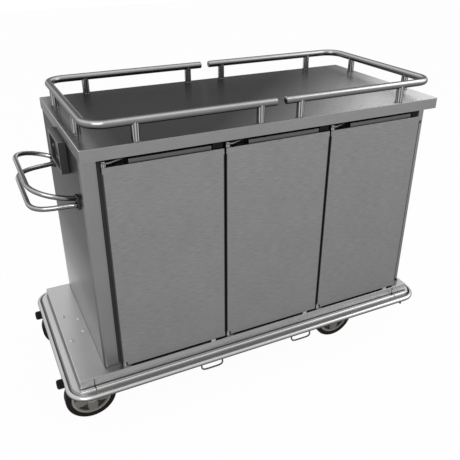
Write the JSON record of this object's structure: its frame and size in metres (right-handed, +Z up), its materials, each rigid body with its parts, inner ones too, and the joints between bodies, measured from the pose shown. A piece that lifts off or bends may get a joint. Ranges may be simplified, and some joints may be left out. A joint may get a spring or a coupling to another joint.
{
  "type": "heated food trolley",
  "caption": "Stainless heated food trolley: insulated cabinet with hinged doors on a bumper-edged castor deck, with a worktop, gallery rail, push handles and a control box.",
  "frame": {"origin": "On the floor below the middle of the overall box.", "axes": "+X to the right along the trolley, away from the push handles; +Y from the doors to the rear; +Z up."},
  "size_m": [1.489, 0.71, 1.0915],
  "materials": {
    "satin_panel": "satin",
    "bumper_steel": "satin",
    "zinc_steel": "satin",
    "polished_tube": "polished",
    "heater_sheath": "satin",
    "black_rubber": "matte",
    "tyre_rubber": "matte",
    "rim_plastic": "matte",
    "black_plastic": "satin",
    "light_nylon": "satin",
    "button_grey": "satin",
    "display_glass": "gloss",
    "insulation": "matte"
  },
  "bodies": {
    "chassis": {"base_deck": "satin_panel", "bumper_corners": "bumper_steel", "bumper_rails": "bumper_steel", "cabinet_base": "satin_panel", "castor_plates": "zinc_steel", "chassis_beams": "zinc_steel", "compartment_liners": "satin_panel", "control_fascia": "black_plastic", "control_housing": "satin_panel", "control_unit": "black_plastic", "display_window": "display_glass", "domed_fixings": "zinc_steel", "door_catches": "black_plastic", "door_glides": "light_nylon", "fixed_forks": "zinc_steel", "front_frame": "satin_panel", "gallery_posts": "polished_tube", "handle_brackets": "zinc_steel", "heater_covers": "satin_panel", "heating_elements": "heater_sheath", "hinge_pins": "zinc_steel", "hinge_plates": "zinc_steel", "insulation_slabs": "insulation", "left_end_lower_panel": "satin_panel", "left_end_upper_panel": "satin_panel", "left_gallery_rail": "polished_tube", "lower_push_handle": "polished_tube", "power_inlet": "black_plastic", "rear_panel": "satin_panel", "right_end_panel": "satin_panel", "right_gallery_rail": "polished_tube", "rubber_buffers": "black_rubber", "strap_loops": "polished_tube", "tray_racks": "satin_panel", "upper_push_handle": "polished_tube", "worktop": "satin_panel", "worktop_core": "insulation"},
    "door_1": {"door_1_shell": "satin_panel", "door_1_core": "insulation", "door_1_seal": "black_rubber"},
    "door_2": {"door_2_shell": "satin_panel", "door_2_core": "insulation", "door_2_seal": "black_rubber"},
    "door_3": {"door_3_shell": "satin_panel", "door_3_core": "insulation", "door_3_seal": "black_rubber"},
    "swivel_castor_front": {"swivel_fork_front": "zinc_steel"},
    "swivel_wheel_front": {"swivel_tyre_front": "tyre_rubber", "swivel_rim_front": "rim_plastic"},
    "fixed_wheel_front": {"fixed_tyre_front": "tyre_rubber", "fixed_rim_front": "rim_plastic"},
    "swivel_castor_rear": {"swivel_fork_rear": "zinc_steel"},
    "swivel_wheel_rear": {"swivel_tyre_rear": "tyre_rubber", "swivel_rim_rear": "rim_plastic"},
    "fixed_wheel_rear": {"fixed_tyre_rear": "tyre_rubber", "fixed_rim_rear": "rim_plastic"},
    "button_down": {"button_down": "button_grey"},
    "button_up": {"button_up": "button_grey"},
    "button_timer": {"button_timer": "button_grey"},
    "power_rocker": {"power_rocker": "black_plastic"}
  },
  "joints": [
    {"name": "door_1_hinge", "type": "hinge", "parent": "chassis", "child": "door_1", "pos_m": [-0.5185, -0.2975, 0.595], "axis": [0, 0, -1], "range_deg": [0, 105]},
    {"name": "door_2_hinge", "type": "hinge", "parent": "chassis", "child": "door_2", "pos_m": [-0.1285, -0.2975, 0.595], "axis": [0, 0, -1], "range_deg": [0, 105]},
    {"name": "door_3_hinge", "type": "hinge", "parent": "chassis", "child": "door_3", "pos_m": [0.2615, -0.2975, 0.595], "axis": [0, 0, -1], "range_deg": [0, 105]},
    {"name": "swivel_front_turn", "type": "hinge", "parent": "chassis", "child": "swivel_castor_front", "pos_m": [-0.5925, -0.225, 0.194], "axis": [0, 0, 1], "continuous": true},
    {"name": "swivel_wheel_front_spin", "type": "hinge", "parent": "swivel_castor_front", "child": "swivel_wheel_front", "pos_m": [-0.6375, -0.225, 0.09], "axis": [0, 1, 0], "continuous": true},
    {"name": "fixed_wheel_front_spin", "type": "hinge", "parent": "chassis", "child": "fixed_wheel_front", "pos_m": [0.4055, -0.21, 0.09], "axis": [0, 1, 0], "continuous": true},
    {"name": "swivel_rear_turn", "type": "hinge", "parent": "chassis", "child": "swivel_castor_rear", "pos_m": [-0.5925, 0.225, 0.194], "axis": [0, 0, 1], "continuous": true},
    {"name": "swivel_wheel_rear_spin", "type": "hinge", "parent": "swivel_castor_rear", "child": "swivel_wheel_rear", "pos_m": [-0.6375, 0.225, 0.09], "axis": [0, 1, 0], "continuous": true},
    {"name": "fixed_wheel_rear_spin", "type": "hinge", "parent": "chassis", "child": "fixed_wheel_rear", "pos_m": [0.4055, 0.21, 0.09], "axis": [0, 1, 0], "continuous": true},
    {"name": "button_down_press", "type": "slide", "parent": "chassis", "child": "button_down", "axis": [1, 0, 0], "range_m": [0, 0.0015], "stiffness_N_per_m": 400, "springref_m": -0.001},
    {"name": "button_up_press", "type": "slide", "parent": "chassis", "child": "button_up", "axis": [1, 0, 0], "range_m": [0, 0.0015], "stiffness_N_per_m": 400, "springref_m": -0.001},
    {"name": "button_timer_press", "type": "slide", "parent": "chassis", "child": "button_timer", "axis": [1, 0, 0], "range_m": [0, 0.0015], "stiffness_N_per_m": 400, "springref_m": -0.001},
    {"name": "power_rocker_tilt", "type": "hinge", "parent": "chassis", "child": "power_rocker", "pos_m": [-0.595, 0.035, 0.927], "axis": [0, 1, 0], "range_deg": [0, 16]}
  ]
}
